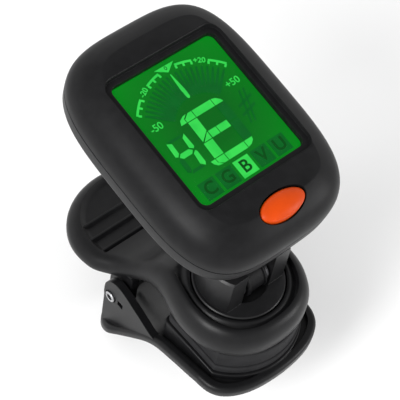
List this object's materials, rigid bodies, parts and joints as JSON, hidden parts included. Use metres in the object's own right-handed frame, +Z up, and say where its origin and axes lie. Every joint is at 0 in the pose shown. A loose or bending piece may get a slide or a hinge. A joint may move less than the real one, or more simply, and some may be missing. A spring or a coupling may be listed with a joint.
{
  "type": "clip-on tuner",
  "caption": "Spring clamp with rubber pads that carries a swivelling, tilting display head with a lit dial, one push button and a coin cell.",
  "frame": {"origin": "where the swivel axis meets the gripping face of the upper rubber pad", "axes": "+Z up the swivel axis away from the gripped headstock, +Y to the finger levers, +X right along the hinge pin"},
  "size_m": [0.0424, 0.0662, 0.0848],
  "materials": {
    "case_plastic": "fine satin charcoal moulding",
    "jaw_plastic": "satin charcoal moulding",
    "swivel_plastic": "satin charcoal moulding",
    "pad_rubber": "matt grey rubber",
    "bright_steel": "plain steel",
    "spring_steel": "oiled spring steel",
    "dark_screw": "blackened steel",
    "white_plastic": "white moulding",
    "clear_window": "clear polished window",
    "lcd_green": "backlit green display",
    "zebra_rubber": "striped elastomer",
    "circuit_green": "solder mask",
    "chip_black": "moulded black",
    "orange_plastic": "satin orange",
    "brass": "plain brass"
  },
  "bodies": {
    "clamp": {"upper_jaw": "jaw_plastic", "upper_pad": "pad_rubber", "hinge_pin": "bright_steel", "torsion_spring": "spring_steel"},
    "lower_clamp": {"lower_jaw": "jaw_plastic", "lower_pad": "pad_rubber"},
    "swivel": {"swivel_disc": "swivel_plastic", "swivel_washer": "white_plastic", "swivel_spring_washer": "spring_steel", "swivel_screw": "bright_steel", "tilt_screw": "dark_screw", "tilt_nut": "bright_steel", "friction_washer_left": "spring_steel", "friction_washer_right": "spring_steel"},
    "head": {"neck": "swivel_plastic", "front_bezel": "case_plastic", "rear_cover": "case_plastic", "display_window": "clear_window", "lcd_glass": "lcd_green", "backlight_panel": "white_plastic", "contact_strip": "zebra_rubber", "circuit_board": "circuit_green", "controller_chip": "chip_black", "timing_crystal": "bright_steel", "tact_switch": "chip_black", "vibration_sensor": "brass", "coin_cell": "bright_steel", "positive_contact": "brass", "negative_contact": "brass", "case_screw_1": "dark_screw", "case_screw_2": "dark_screw", "case_screw_3": "dark_screw", "case_screw_4": "dark_screw", "neck_screw_1": "bright_steel", "neck_screw_2": "bright_steel"},
    "button": {"power_button": "orange_plastic", "switch_plunger": "white_plastic"},
    "door": {"battery_door": "case_plastic"}
  },
  "joints": [
    {"name": "jaw_hinge", "type": "hinge", "parent": "clamp", "child": "lower_clamp", "pos_m": [0, 0.0218, -0.0099], "axis": [1, 0, 0], "range_deg": [0, 30], "stiffness_Nm_per_rad": 0.12, "springref_deg": -34.38, "deforming": ["torsion_spring"]},
    {"name": "head_swivel", "type": "hinge", "parent": "clamp", "child": "swivel", "pos_m": [0, 0, 0.0123], "axis": [0, 0, 1], "continuous": true},
    {"name": "head_tilt", "type": "hinge", "parent": "swivel", "child": "head", "pos_m": [0, -0.0015, 0.0156], "axis": [1, 0, 0], "range_deg": [-35, 70]},
    {"name": "button_press", "type": "slide", "parent": "head", "child": "button", "axis": [0, 0.1668, -0.986], "range_m": [0, 0.0004], "stiffness_N_per_m": 900, "springref_m": -0.0003},
    {"name": "door_slide", "type": "slide", "parent": "head", "child": "door", "axis": [0, 0.986, 0.1668], "range_m": [0, 0.024]}
  ]
}
